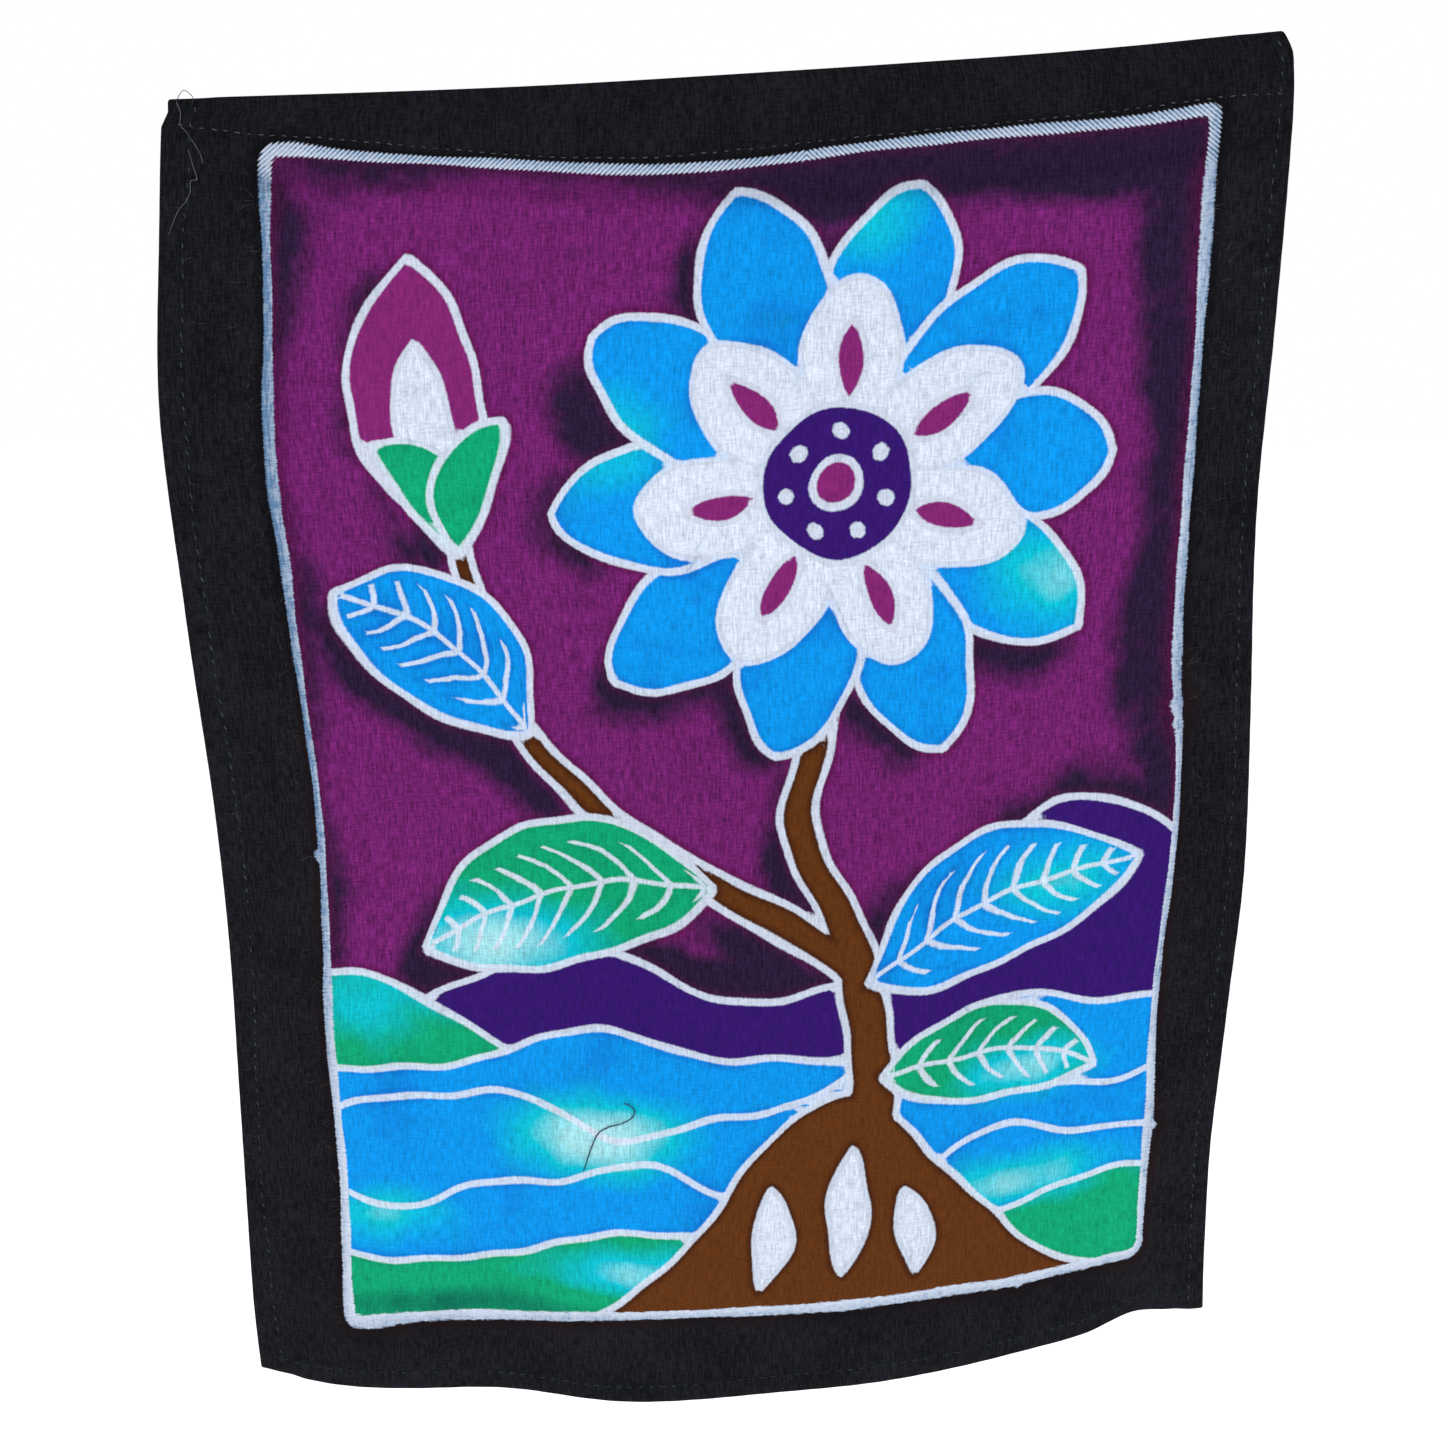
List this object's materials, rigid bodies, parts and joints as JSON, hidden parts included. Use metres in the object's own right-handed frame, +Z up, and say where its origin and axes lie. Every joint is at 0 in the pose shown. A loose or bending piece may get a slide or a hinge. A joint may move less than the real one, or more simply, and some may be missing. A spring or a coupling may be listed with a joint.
{
  "type": "batik wall hanging",
  "caption": "Hemmed cotton batik cloth with a black border and a dyed plant-and-water picture, hanging loose and slightly askew from its top edge.",
  "frame": {"origin": "middle of the cloth's top edge", "axes": "+Z up, +X to the right of someone facing the picture side, which looks along -Y"},
  "size_m": [0.2853, 0.0233, 0.3789],
  "materials": {
    "dyed_cotton": "matt plain-weave cotton, wax-resist dyed in blue, purple, green and brown inside a black border"
  },
  "bodies": {
    "root": {"batik_cloth": "dyed_cotton"}
  },
  "joints": []
}
